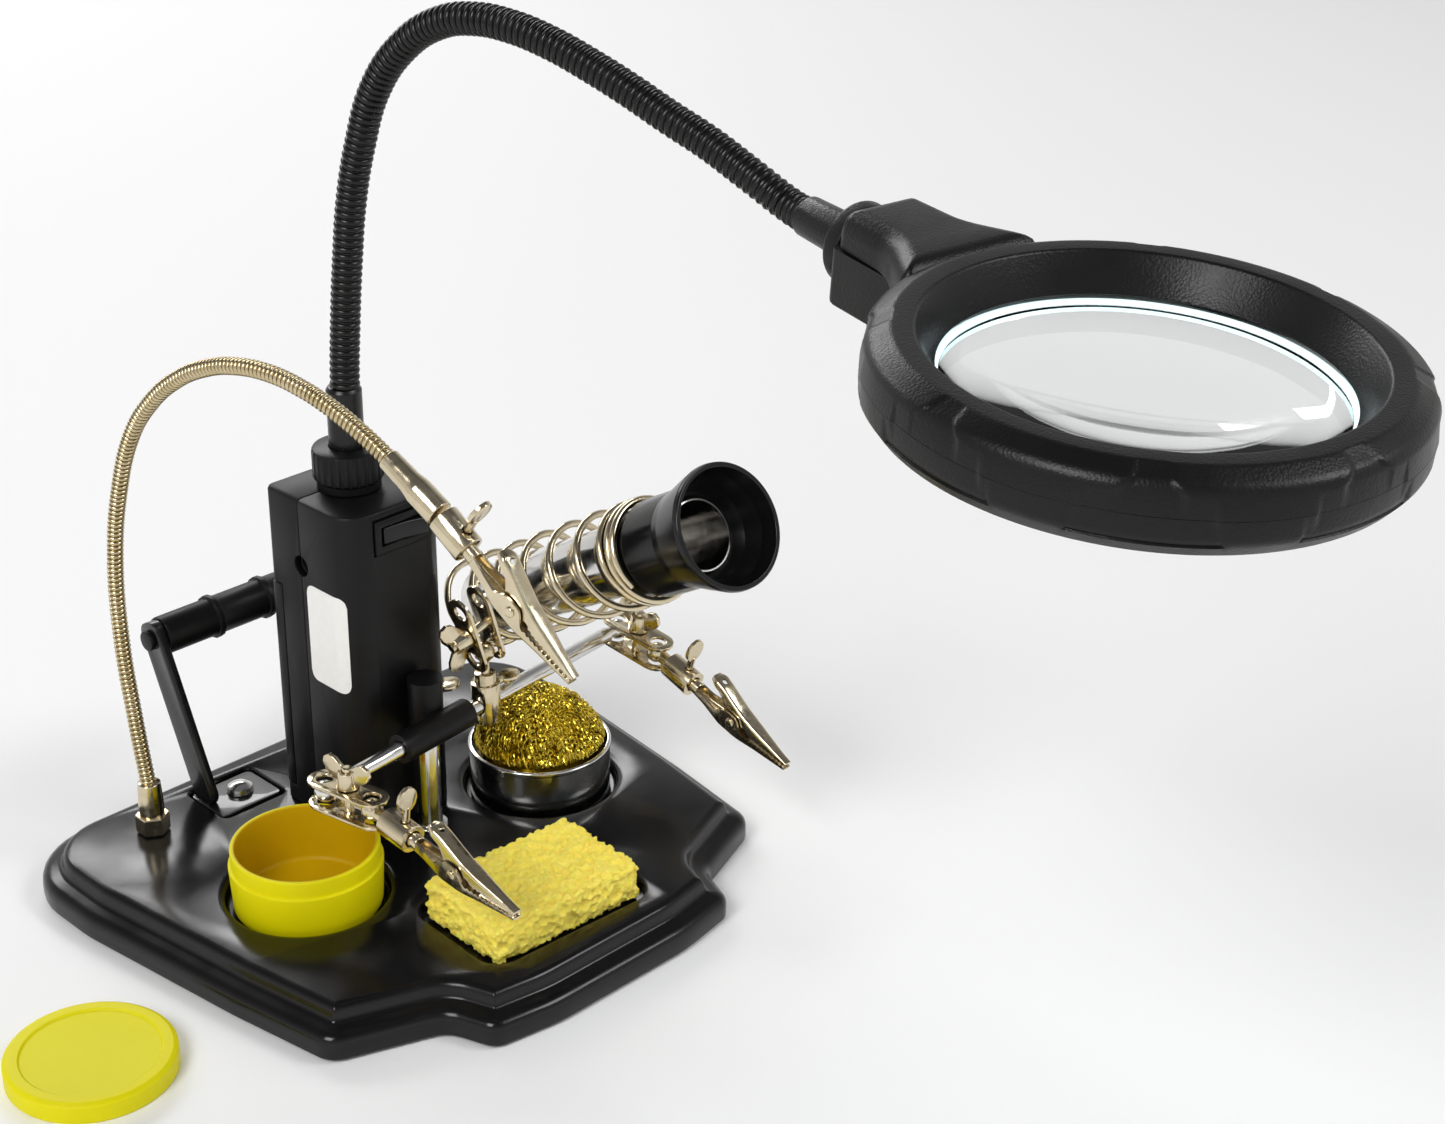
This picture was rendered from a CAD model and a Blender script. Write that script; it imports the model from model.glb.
"""Looks of a soldering iron station: moulded base, gooseneck magnifier lamp, coil iron rest,
helping-hand bar with crocodile clips, flexible clip arm, reel bracket, cups, brass wool, sponge."""

import math
import random

import bmesh
import bpy
import numpy as np
from mathutils import Matrix, Vector


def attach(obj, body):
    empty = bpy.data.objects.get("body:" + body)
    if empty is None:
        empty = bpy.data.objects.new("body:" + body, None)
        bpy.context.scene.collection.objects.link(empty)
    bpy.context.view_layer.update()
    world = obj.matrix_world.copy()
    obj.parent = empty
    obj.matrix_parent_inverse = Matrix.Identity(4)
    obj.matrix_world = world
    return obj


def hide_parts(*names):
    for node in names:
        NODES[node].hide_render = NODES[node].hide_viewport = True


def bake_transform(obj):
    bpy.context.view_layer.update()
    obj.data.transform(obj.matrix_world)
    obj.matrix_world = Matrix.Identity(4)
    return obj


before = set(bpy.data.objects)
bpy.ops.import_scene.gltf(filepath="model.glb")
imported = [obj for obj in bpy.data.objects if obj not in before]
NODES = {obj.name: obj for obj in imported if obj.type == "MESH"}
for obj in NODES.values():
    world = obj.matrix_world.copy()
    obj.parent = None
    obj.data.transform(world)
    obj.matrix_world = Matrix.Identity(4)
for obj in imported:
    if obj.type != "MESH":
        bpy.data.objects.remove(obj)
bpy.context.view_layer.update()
MM = 0.001


# ---- Floor, light and camera
# A plain pale sweep under soft light from large panels: one over the left shoulder, one high on
# the right and a narrow one behind, so that gloss and plating have both bright and dark to show.

def shader_of(name, colour, roughness, metallic=0.0, **sockets):
    """A material with one Principled shader. Returns the material, its tree and the shader."""
    material = bpy.data.materials.new(name)
    material.use_nodes = True
    tree = material.node_tree
    shader = tree.nodes["Principled BSDF"]
    shader.inputs["Base Color"].default_value = (*colour, 1.0)
    shader.inputs["Roughness"].default_value = roughness
    shader.inputs["Metallic"].default_value = metallic
    for socket, value in sockets.items():
        shader.inputs[socket.replace("_", " ")].default_value = value
    return material, tree, shader


def object_place(tree, scale=(1, 1, 1), turn=(0, 0, 0)):
    place = tree.nodes.new("ShaderNodeTexCoord")
    mapping = tree.nodes.new("ShaderNodeMapping")
    mapping.inputs["Scale"].default_value = scale
    mapping.inputs["Rotation"].default_value = turn
    tree.links.new(place.outputs["Object"], mapping.inputs["Vector"])
    return mapping.outputs["Vector"]


def noise(tree, place, scale, detail=3.0, roughness=0.5):
    made = tree.nodes.new("ShaderNodeTexNoise")
    made.inputs["Scale"].default_value = scale
    made.inputs["Detail"].default_value = detail
    made.inputs["Roughness"].default_value = roughness
    tree.links.new(place, made.inputs["Vector"])
    return made.outputs["Fac"]


def bump(tree, shader, height, strength, distance):
    made = tree.nodes.new("ShaderNodeBump")
    made.inputs["Strength"].default_value = strength
    made.inputs["Distance"].default_value = distance
    tree.links.new(height, made.inputs["Height"])
    before = shader.inputs["Normal"].links
    if before:
        tree.links.new(before[0].from_socket, made.inputs["Normal"])
    tree.links.new(made.outputs["Normal"], shader.inputs["Normal"])


def spread(tree, value, low, high):
    """Maps a 0 to 1 value to the span from low to high."""
    made = tree.nodes.new("ShaderNodeMapRange")
    made.inputs["From Min"].default_value = 0.3
    made.inputs["From Max"].default_value = 0.7
    made.inputs["To Min"].default_value = low
    made.inputs["To Max"].default_value = high
    tree.links.new(value, made.inputs["Value"])
    return made.outputs["Result"]


def mixed_colour(tree, share, first, second):
    made = tree.nodes.new("ShaderNodeMix")
    made.data_type = "RGBA"
    made.inputs["A"].default_value = (*first, 1.0)
    made.inputs["B"].default_value = (*second, 1.0)
    tree.links.new(share, made.inputs["Factor"])
    return made.outputs["Result"]


def two_tone(tree, shader, share, first, second):
    tree.links.new(mixed_colour(tree, share, first, second), shader.inputs["Base Color"])


FLOOR_REACH = 6.0
floor_mesh = bpy.data.meshes.new("floor")
floor_mesh.from_pydata(
    [(-FLOOR_REACH, -FLOOR_REACH, 0), (FLOOR_REACH, -FLOOR_REACH, 0),
     (FLOOR_REACH, FLOOR_REACH, 0), (-FLOOR_REACH, FLOOR_REACH, 0)], [], [(0, 1, 2, 3)])
floor = bpy.data.objects.new("floor", floor_mesh)
floor.location.z = -0.0001
bpy.context.scene.collection.objects.link(floor)
floor_mesh.materials.append(shader_of("pale_floor", (0.93, 0.93, 0.93), 0.7)[0])
bpy.context.scene.view_settings.view_transform = "Standard"

world = bpy.context.scene.world or bpy.data.worlds.new("studio")
bpy.context.scene.world = world
world.use_nodes = True
sky = world.node_tree
room = sky.nodes["Background"]
room.inputs["Strength"].default_value = 0.88
around = sky.nodes.new("ShaderNodeTexCoord")
apart = sky.nodes.new("ShaderNodeSeparateXYZ")
height_ramp = sky.nodes.new("ShaderNodeValToRGB")
height_ramp.color_ramp.elements[0].position = 0.02
height_ramp.color_ramp.elements[0].color = (1.0, 0.99, 0.97, 1)
height_ramp.color_ramp.elements[1].position = 0.75
height_ramp.color_ramp.elements[1].color = (0.16, 0.16, 0.17, 1)
sky.links.new(around.outputs["Generated"], apart.inputs["Vector"])
sky.links.new(apart.outputs["Z"], height_ramp.inputs["Fac"])
sky.links.new(height_ramp.outputs["Color"], room.inputs["Color"])

AIM = Vector((0.0, -0.06, 0.10))


def panel(name, place, width, height, power):
    light = bpy.data.lights.new(name, "AREA")
    light.shape = "RECTANGLE"
    light.size = width
    light.size_y = height
    light.energy = power
    lamp = bpy.data.objects.new(name, light)
    lamp.location = place
    lamp.rotation_euler = (AIM - Vector(place)).to_track_quat("-Z", "Y").to_euler()
    bpy.context.scene.collection.objects.link(lamp)


panel("left_panel", (-1.5, -0.4, 1.5), 0.9, 0.9, 24)
panel("right_panel", (1.0, -1.4, 1.7), 1.0, 0.7, 17)
panel("back_panel", (0.6, 1.7, 1.2), 1.6, 0.4, 17)

EYE = Vector((-0.4082, -0.5168, 0.4310))
RIGHT = Vector((0.6965, -0.7175, 0.0))
UP = Vector((0.3171, 0.3078, 0.897))
BACK = Vector((-0.6436, -0.6249, 0.442))
ROLL = math.radians(0.76)
lens = bpy.data.cameras.new("view")
lens.sensor_fit = "HORIZONTAL"
lens.sensor_width = 36.0
lens.lens = 62.13
lens.clip_start = 0.01
camera = bpy.data.objects.new("view", lens)
across = math.cos(ROLL) * RIGHT + math.sin(ROLL) * UP
upward = -math.sin(ROLL) * RIGHT + math.cos(ROLL) * UP
turned_view = Matrix((across, upward, BACK)).transposed().to_4x4()
camera.matrix_world = Matrix.Translation(EYE) @ turned_view
bpy.context.scene.collection.objects.link(camera)
bpy.context.scene.camera = camera


# ---- Base
# One glossy black ABS moulding with a round nose along its edge, a raised deck, two round wells,
# a sponge tray and a seat for the reel bracket. A foam pad closes its underside.

def gloss_black():
    material, tree, shader = shader_of("glossy_black_abs", (0.004, 0.004, 0.0045), 0.18, IOR=1.4)
    place = object_place(tree)
    tree.links.new(spread(tree, noise(tree, place, 60), 0.16, 0.27), shader.inputs["Roughness"])
    bump(tree, shader, noise(tree, place, 130, 2), 0.06, 0.0004)
    return material


def satin_black():
    """Fine spark-eroded texture of a moulded housing."""
    material, tree, shader = shader_of("satin_black_abs", (0.004, 0.004, 0.0045), 0.36, IOR=1.32)
    place = object_place(tree)
    tree.links.new(spread(tree, noise(tree, place, 45), 0.36, 0.46), shader.inputs["Roughness"])
    bump(tree, shader, noise(tree, place, 2600, 2), 0.22, 0.0001)
    return material


GLOSS_BLACK = gloss_black()
SATIN_BLACK = satin_black()


def object_from(name, mesh):
    made = bpy.data.objects.new(name, mesh)
    bpy.context.scene.collection.objects.link(made)
    return made


def mesh_of(work, name="piece"):
    """A mesh from the bmesh, with doubles merged and faces outwards."""
    bmesh.ops.remove_doubles(work, verts=work.verts, dist=2e-7)
    bmesh.ops.recalc_face_normals(work, faces=work.faces)
    mesh = bpy.data.meshes.new(name)
    work.to_mesh(mesh)
    work.free()
    return mesh


def final_mesh(made):
    """The object's mesh with its modifiers applied. The object is removed."""
    bpy.context.view_layer.update()
    graph = bpy.context.evaluated_depsgraph_get()
    mesh = bpy.data.meshes.new_from_object(made.evaluated_get(graph))
    bpy.data.objects.remove(made, do_unlink=True)
    return mesh


def show(name, mesh, material, body, slot, *nodes, smooth=40.0):
    """A finished piece on its body, in place of CAD nodes."""
    mesh.materials.clear()
    mesh.materials.append(material)
    mesh.shade_smooth()
    mesh.set_sharp_from_angle(angle=math.radians(smooth))
    made = object_from(name, mesh)
    if nodes:
        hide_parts(*nodes)
    if body:
        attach(made, body)
    return made


def rounded(corners, steps):
    """The closed outline of corners (x, y, radius), with an arc at each."""
    outline = []
    for i, (x, y, radius) in enumerate(corners):
        here = Vector((x, y))
        if radius <= 0:
            outline.append(here)
            continue
        back = (Vector(corners[i - 1][:2]) - here).normalized()
        ahead = (Vector(corners[(i + 1) % len(corners)][:2]) - here).normalized()
        half = back.angle(ahead) / 2
        middle = here + (back + ahead).normalized() * (radius / math.sin(half))
        reach = radius / math.tan(half)
        start = here + back * reach - middle
        end = here + ahead * reach - middle
        sweep = start.angle(end) * (1 if start.x * end.y - start.y * end.x > 0 else -1)
        for step in range(steps + 1):
            outline.append(middle + Matrix.Rotation(sweep * step / steps, 2) @ start)
    return outline


def moved_in(corners, inset):
    result = []
    for i, (x, y, radius) in enumerate(corners):
        here = Vector((x, y))
        a = (here - Vector(corners[i - 1][:2])).normalized()
        b = (Vector(corners[(i + 1) % len(corners)][:2]) - here).normalized()
        miter = (Vector((-a.y, a.x)) + Vector((-b.y, b.x))) / (1 + a.dot(b))
        outward = a.x * b.y - a.y * b.x > 0
        kept = max(radius - inset, 0.8 * MM) if outward else radius + inset
        result.append((*(here + miter * inset), kept))
    return result


def lofted(rings, closed=True):
    work = bmesh.new()
    rows = [[work.verts.new(point) for point in ring] for ring in rings]
    count = len(rows[0])
    for near, far in zip(rows, rows[1:]):
        for i in range(count):
            work.faces.new((near[i], near[(i + 1) % count], far[(i + 1) % count], far[i]))
    if closed:
        work.faces.new(rows[0])
        work.faces.new(rows[-1])
    return mesh_of(work)


def turned(corners, segments=96, steps=5, place=None):
    """A closed outline of (radius, height, corner radius), turned round Z, then placed."""
    points = rounded(corners, steps)
    work = bmesh.new()
    rows = []
    for point in points:
        row = []
        for i in range(segments):
            angle = 2 * math.pi * i / segments
            row.append(work.verts.new((point.x * math.cos(angle), point.x * math.sin(angle), point.y)))
        rows.append(row)
    for near, far in zip(rows, rows[1:] + rows[:1]):
        for i in range(segments):
            work.faces.new((near[i], near[(i + 1) % segments], far[(i + 1) % segments], far[i]))
    bmesh.ops.remove_doubles(work, verts=work.verts, dist=2e-7)
    inner = [f for f in work.faces if f.calc_area() < 1e-14]
    bmesh.ops.delete(work, geom=inner, context="FACES_ONLY")
    mesh = mesh_of(work)
    if place is not None:
        mesh.transform(place)
    return mesh


def cut_from(mesh, *tools):
    made = object_from("work", mesh)
    helpers = []
    for tool in tools:
        helper = object_from("tool", tool)
        helpers.append(helper)
        change = made.modifiers.new("cut", "BOOLEAN")
        change.operation = "DIFFERENCE"
        change.object = helper
    result = final_mesh(made)
    for helper in helpers:
        bpy.data.objects.remove(helper, do_unlink=True)
    return result


DECK_Z = 14.2 * MM
HALF_WIDTH = 97.5 * MM
REAR_Y = 89.0 * MM
FRONT_Y = -85.0 * MM


def base_corners():
    half = [
        (25.0 * MM, FRONT_Y + 1.2 * MM, 60.0 * MM),
        (46.5 * MM, FRONT_Y + 4.8 * MM, 6.0 * MM),
        (52.0 * MM, FRONT_Y + 20.0 * MM, 9.0 * MM),
        (HALF_WIDTH - 14.0 * MM, FRONT_Y + 32.0 * MM, 8.0 * MM),
        (HALF_WIDTH - 7.8 * MM, FRONT_Y + 69.0 * MM, 60.0 * MM),
        (HALF_WIDTH, FRONT_Y + 131.0 * MM, 60.0 * MM),
        (HALF_WIDTH, REAR_Y, 27.0 * MM),
    ]
    return half + [(-x, y, radius) for x, y, radius in reversed(half)]


def base_ring(inset, z):
    return [(p.x, p.y, z) for p in rounded(moved_in(base_corners(), inset), 10)]


NOSE_STEPS = [
    (0.6, 0.8), (0.15, 1.2), (0.0, 2.0), (0.0, 5.0), (0.1, 6.1), (0.45, 7.1), (1.1, 7.9), (2.0, 8.5),
    (3.2, 8.9), (4.8, 9.2), (5.6, 9.5), (6.1, 10.0), (6.4, 10.8), (6.7, 12.0), (7.0, 12.8), (7.5, 13.5),
    (8.3, 13.95), (9.4, 14.2), ]
base = lofted([base_ring(inset * MM, z * MM) for inset, z in NOSE_STEPS])


def well(radius, floor_z):
    """The cutter for a round well with a rolled lip."""
    points = [(0.0, DECK_Z + 2 * MM, 0), (radius + 2.4 * MM, DECK_Z + 2 * MM, 0),
        (radius + 2.4 * MM, DECK_Z, 0), (radius + 1.2 * MM, DECK_Z - 0.25 * MM, 0),
        (radius + 0.4 * MM, DECK_Z - 0.9 * MM, 0), (radius, DECK_Z - 2.0 * MM, 0),
        (radius, floor_z, 1.2 * MM), (0.0, floor_z, 0)]
    return points


FLUX_AT = Vector((-46.2 * MM, 4.9 * MM, 0))
WOOL_AT = Vector((46.2 * MM, 4.7 * MM, 0))
SPONGE_AT = Vector((-2.4 * MM, -46.4 * MM, 0))
SPONGE_TURN = Matrix.Rotation(math.radians(-3.0), 4, "Z")
wells = [turned(well(24.4 * MM, 9.5 * MM), 96, 5, Matrix.Translation(at)) for at in (FLUX_AT, WOOL_AT)]
tray_corners = [(-30.5 * MM, -20.5 * MM, 8 * MM), (30.5 * MM, -20.5 * MM, 8 * MM),
                (30.5 * MM, 20.5 * MM, 8 * MM), (-30.5 * MM, 20.5 * MM, 8 * MM)]
tray_rings = [[(p.x, p.y, z * MM) for p in rounded(moved_in(tray_corners, inset * MM), 8)]
              for inset, z in ((1.4, 10.7), (0.4, 10.9), (0.0, 11.6), (0.0, 13.0), (-0.4, 13.8),
              (-1.2, 14.2), (-1.2, 20))]
tray = lofted(tray_rings)
tray.transform(Matrix.Translation(SPONGE_AT) @ SPONGE_TURN)
seat_corners = [(-41.5 * MM, 53.5 * MM, 2.5 * MM), (-17.5 * MM, 53.5 * MM, 2.5 * MM),
                (-17.5 * MM, 74.5 * MM, 2.5 * MM), (-41.5 * MM, 74.5 * MM, 2.5 * MM)]
seat = lofted([[(p.x, p.y, z * MM) for p in rounded(moved_in(seat_corners, inset * MM), 6)]
               for inset, z in ((0.0, 10.9), (0.0, 13.4), (-0.3, 13.95), (-0.9, 14.2), (-0.9, 20))])
base = cut_from(base, *wells, tray, seat)
show("base", base, GLOSS_BLACK, "station", "black_gloss", "base_shell", smooth=32)


def refined(node, body, slot, material, edge=0.2 * MM, segments=2, smooth=38.0):
    """The CAD node's own shape with merged faces and small rounded edges."""
    work = bmesh.new()
    work.from_mesh(NODES[node].data)
    bmesh.ops.remove_doubles(work, verts=work.verts, dist=1e-6)
    bmesh.ops.dissolve_limit(work, angle_limit=math.radians(1.0), verts=work.verts, edges=work.edges)
    mesh = bpy.data.meshes.new(node)
    work.to_mesh(mesh)
    work.free()
    made = object_from("work", mesh)
    if edge:
        soften = made.modifiers.new("edges", "BEVEL")
        soften.width = edge
        soften.segments = segments
        soften.limit_method = "ANGLE"
        soften.angle_limit = math.radians(42)
        soften.use_clamp_overlap = True
        soften.harden_normals = False
    return show(f"{node}_piece", final_mesh(made), material, body, slot, node, smooth=smooth)


def foam_black():
    material, tree, shader = shader_of("black_foam", (0.02, 0.02, 0.021), 0.95)
    place = object_place(tree)
    bump(tree, shader, noise(tree, place, 1400, 4, 0.7), 0.6, 0.0004)
    return material


def zinc():
    material, tree, shader = shader_of("zinc_plate", (0.42, 0.43, 0.46), 0.45, 1.0)
    place = object_place(tree)
    share = noise(tree, place, 220, 4)
    two_tone(tree, shader, share, (0.35, 0.36, 0.40), (0.55, 0.55, 0.56))
    return material


refined("anti_slip_pad", "station", "foam", foam_black(), 0.3 * MM)
refined("ballast_plate", "station", "zinc", zinc(), 0.2 * MM)


# ---- Battery case, door, switch and charging socket
# Two satin black shells meet on a seam round the sides and top. The rear one carries the door,
# the front one the rocker switch. The cells and the socket behind the seam's hole are inside.

for node in ("battery_case_front", "battery_case_rear"):
    refined(node, "station", "black_satin", SATIN_BLACK, 0.35 * MM, 3)
refined("battery_door", "battery_door", "black_satin", SATIN_BLACK, 0.25 * MM)
refined("dc_jack", "station", "black_satin", SATIN_BLACK, 0.15 * MM)
refined("switch_body", "station", "black_satin", SATIN_BLACK, 0.35 * MM, 3)
refined("switch_rocker", "switch_rocker", "black_gloss", GLOSS_BLACK, 0.5 * MM, 3)


def cell_wrap():
    material, tree, shader = shader_of("cell_wrap", (0.05, 0.16, 0.26), 0.3, Coat_Weight=0.5)
    place = object_place(tree)
    share = noise(tree, place, 90, 2)
    two_tone(tree, shader, share, (0.04, 0.14, 0.24), (0.07, 0.2, 0.3))
    return material


CELL_WRAP = cell_wrap()
for number in range(1, 5):
    refined(f"battery_cell_{number}", "station", "cell", CELL_WRAP, 0.2 * MM)

LABEL_LOW = 64.0 * MM
LABEL_HIGH = 96.0 * MM
LABEL_REACH = 17.5 * MM
LABEL_CORNER = 3.0 * MM
CASE_LEFT = -19.2 * MM
CASE_FRONT = 12.0 * MM
CASE_CORNER = 9.0 * MM
LABEL_BACK_Y = 33.2 * MM


def case_side(distance, lift):
    """A point on the case's left side, this far forwards of the label's back edge."""
    flat = LABEL_BACK_Y - (CASE_FRONT + CASE_CORNER)
    if distance <= flat:
        return (CASE_LEFT - lift, LABEL_BACK_Y - distance)
    angle = (distance - flat) / CASE_CORNER
    middle = (CASE_LEFT + CASE_CORNER, CASE_FRONT + CASE_CORNER)
    reach = CASE_CORNER + lift
    return (middle[0] - reach * math.cos(angle), middle[1] - reach * math.sin(angle))


label_work = bmesh.new()
label_rows = []
for step in range(41):
    distance = LABEL_REACH * step / 40
    near_end = min(distance, LABEL_REACH - distance)
    trim = 0.0
    if near_end < LABEL_CORNER:
        trim = LABEL_CORNER - math.sqrt(max(LABEL_CORNER ** 2 - (LABEL_CORNER - near_end) ** 2, 0.0))
    ring = []
    for z, lift in ((LABEL_LOW + trim, 0.02), (LABEL_LOW + trim, 0.14), (LABEL_HIGH - trim, 0.14),
        (LABEL_HIGH - trim, 0.02)):
        x, y = case_side(distance, lift * MM)
        ring.append(label_work.verts.new((x, y, z)))
    label_rows.append(ring)
for near, far in zip(label_rows, label_rows[1:]):
    for i in range(4):
        label_work.faces.new((near[i], near[(i + 1) % 4], far[(i + 1) % 4], far[i]))
label_work.faces.new(label_rows[0])
label_work.faces.new(label_rows[-1])


def label_paper():
    material, tree, shader = shader_of("label_paper", (0.86, 0.86, 0.84), 0.42)
    place = object_place(tree)
    share = noise(tree, place, 300, 3)
    two_tone(tree, shader, share, (0.82, 0.82, 0.80), (0.9, 0.9, 0.88))
    bump(tree, shader, noise(tree, place, 900, 2), 0.1, 0.0001)
    return material


show("blank_label", mesh_of(label_work), label_paper(), "station", "foam")


# ---- Lamp arm
# A wound steel gooseneck, sleeved in black, out of a ribbed collar on the case's top. Each turn
# shows as a narrow ring. One piece bends over the place where the CAD arm is hinged.

def along(direction, up=(0.0, 0.0, 1.0), origin=(0.0, 0.0, 0.0)):
    forward = Vector(direction).normalized()
    side = Vector(up).cross(forward).normalized()
    top = forward.cross(side)
    return Matrix.Translation(origin) @ Matrix((forward, side, top)).transposed().to_4x4()


def smooth_path(points, spacing):
    """Points this far apart on a smooth curve through the given ones."""
    curve = bpy.data.curves.new("path", "CURVE")
    curve.dimensions = "3D"
    curve.resolution_u = 24
    spline = curve.splines.new("BEZIER")
    spline.bezier_points.add(len(points) - 1)
    for knot, point in zip(spline.bezier_points, points):
        knot.co = point
        knot.handle_left_type = "AUTO"
        knot.handle_right_type = "AUTO"
    mesh = final_mesh(object_from("path", curve))
    dense = np.array([v.co for v in mesh.vertices])
    gaps = np.linalg.norm(np.diff(dense, axis=0), axis=1)
    run = np.concatenate([[0], np.cumsum(gaps)])
    count = max(int(round(run[-1] / spacing)), 2)
    wanted = np.linspace(0, run[-1], count + 1)
    return np.stack([np.interp(wanted, run, dense[:, k]) for k in range(3)], axis=1)


def swept(points, radii, sides=24):
    """A round tube along points with a radius at each, closed at both ends."""
    points = np.asarray(points, float)
    tangents = np.gradient(points, axis=0)
    tangents /= np.linalg.norm(tangents, axis=1)[:, None]
    side = np.cross(tangents[0], (0.31, 0.2, 0.93))
    side /= np.linalg.norm(side)
    rings = []
    for point, tangent, radius in zip(points, tangents, np.broadcast_to(radii, len(points))):
        side = side - tangent * side.dot(tangent)
        side /= np.linalg.norm(side)
        other = np.cross(tangent, side)
        angles = np.arange(sides) * 2 * math.pi / sides
        rings.append(point + radius * (np.outer(np.cos(angles), side) + np.outer(np.sin(angles), other)))
    return lofted([[tuple(p) for p in ring] for ring in rings])


def wound_rings(tree_name, path, radius, wire, pitch, material, sides=28):
    """Geometry Nodes: a ring at every pitch along the path, square to it."""
    line = bpy.data.meshes.new(tree_name)
    line.from_pydata([tuple(p) for p in path], [(i, i + 1) for i in range(len(path) - 1)], [])
    made = object_from(tree_name, line)
    tree = bpy.data.node_groups.new(tree_name, "GeometryNodeTree")
    sockets = {}
    tree.interface.new_socket("Geometry", in_out="INPUT", socket_type="NodeSocketGeometry")
    for label in ("Radius", "Wire", "Pitch"):
        item = tree.interface.new_socket(label, in_out="INPUT", socket_type="NodeSocketFloat")
        sockets[label] = item.identifier
    tree.interface.new_socket("Geometry", in_out="OUTPUT", socket_type="NodeSocketGeometry")
    start = tree.nodes.new("NodeGroupInput")
    end = tree.nodes.new("NodeGroupOutput")
    to_curve = tree.nodes.new("GeometryNodeMeshToCurve")
    resample = tree.nodes.new("GeometryNodeResampleCurve")
    resample.mode = "LENGTH"
    stations = tree.nodes.new("GeometryNodeCurveToPoints")
    stations.mode = "EVALUATED"
    circle = tree.nodes.new("GeometryNodeCurvePrimitiveCircle")
    circle.inputs["Resolution"].default_value = sides
    bead = tree.nodes.new("GeometryNodeCurvePrimitiveCircle")
    bead.inputs["Resolution"].default_value = 8
    ring = tree.nodes.new("GeometryNodeCurveToMesh")
    instance = tree.nodes.new("GeometryNodeInstanceOnPoints")
    realize = tree.nodes.new("GeometryNodeRealizeInstances")
    paint = tree.nodes.new("GeometryNodeSetMaterial")
    paint.inputs["Material"].default_value = material
    links = (
        (start.outputs[0], to_curve.inputs[0]), (to_curve.outputs[0], resample.inputs["Curve"]),
        (start.outputs["Pitch"], resample.inputs["Length"]), (resample.outputs[0], stations.inputs[0]),
        (start.outputs["Radius"], circle.inputs["Radius"]), (start.outputs["Wire"], bead.inputs["Radius"]),
        (circle.outputs[0], ring.inputs["Curve"]), (bead.outputs[0], ring.inputs["Profile Curve"]),
        (stations.outputs["Points"], instance.inputs["Points"]),
        (ring.outputs[0], instance.inputs["Instance"]),
        (stations.outputs["Rotation"], instance.inputs["Rotation"]),
        (instance.outputs[0], realize.inputs[0]), (realize.outputs[0], paint.inputs["Geometry"]),
        (paint.outputs[0], end.inputs[0]), )
    for source, target in links:
        tree.links.new(source, target)
    change = made.modifiers.new("rings", "NODES")
    change.node_group = tree
    change[sockets["Radius"]] = radius
    change[sockets["Wire"]] = wire
    change[sockets["Pitch"]] = pitch
    return final_mesh(made)


def joined(*meshes):
    """The meshes as one."""
    work = bmesh.new()
    for mesh in meshes:
        work.from_mesh(mesh)
    result = bpy.data.meshes.new("joined")
    work.to_mesh(result)
    work.free()
    return result


HEAD_AT = Vector((1.1 * MM, -242.0 * MM, 235.4 * MM))
HEAD_YAW = math.radians(8.4)
HEAD_TILT = math.radians(4.6)
HEAD = along((-math.sin(HEAD_YAW) * math.cos(HEAD_TILT), -math.cos(HEAD_YAW) * math.cos(HEAD_TILT),
              -math.sin(HEAD_TILT)), origin=HEAD_AT)
NECK_Z = -3.5 * MM
ARM_RADIUS = 4.5 * MM
arm_knots = [(-1.6, 33.0, 123.3), (-1.5, 32.3, 156.2), (-1.3, 30.6, 175.3), (-1.0, 28.4, 193.9),
    (-0.7, 25.4, 212.3), (-0.2, 20.8, 229.0), (0.7, 14.1, 245.7), (2.0, 3.0, 259.2), (3.7, -11.1, 268.2),
    (5.2, -23.5, 271.2), (6.7, -35.6, 271.3), (8.3, -49.0, 269.3), (9.9, -62.1, 265.8), (11.4, -75.0, 261.7),
             (12.9, -87.7, 257.1), (14.5, -100.2, 252.8), (15.9, -112.5, 247.6)]
arm_knots = [Vector(point) * MM for point in arm_knots] + [HEAD @ Vector((-117.5 * MM, 0, NECK_Z)),
    HEAD @ Vector((-113.5 * MM, 0, NECK_Z))]
arm_path = smooth_path(arm_knots, 1.0 * MM)


def sleeve_black():
    material, tree, shader = shader_of("gooseneck_black", (0.004, 0.004, 0.004), 0.24, IOR=1.4)
    place = object_place(tree)
    tree.links.new(spread(tree, noise(tree, place, 200), 0.22, 0.36), shader.inputs["Roughness"])
    bump(tree, shader, noise(tree, place, 700, 2), 0.08, 0.0002)
    return material


SLEEVE_BLACK = sleeve_black()
arm_core = swept(arm_path, ARM_RADIUS - 0.75 * MM)
arm_rings = wound_rings("gooseneck_rings", arm_path[4:], ARM_RADIUS - 1.05 * MM, 1.02 * MM, 2.15 * MM,
    SLEEVE_BLACK)
gooseneck = show("gooseneck", joined(arm_core, arm_rings), SLEEVE_BLACK, None, "black_gloss",
                 "lamp_arm_lower", "lamp_arm_upper", smooth=60)
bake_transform(gooseneck)

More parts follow.
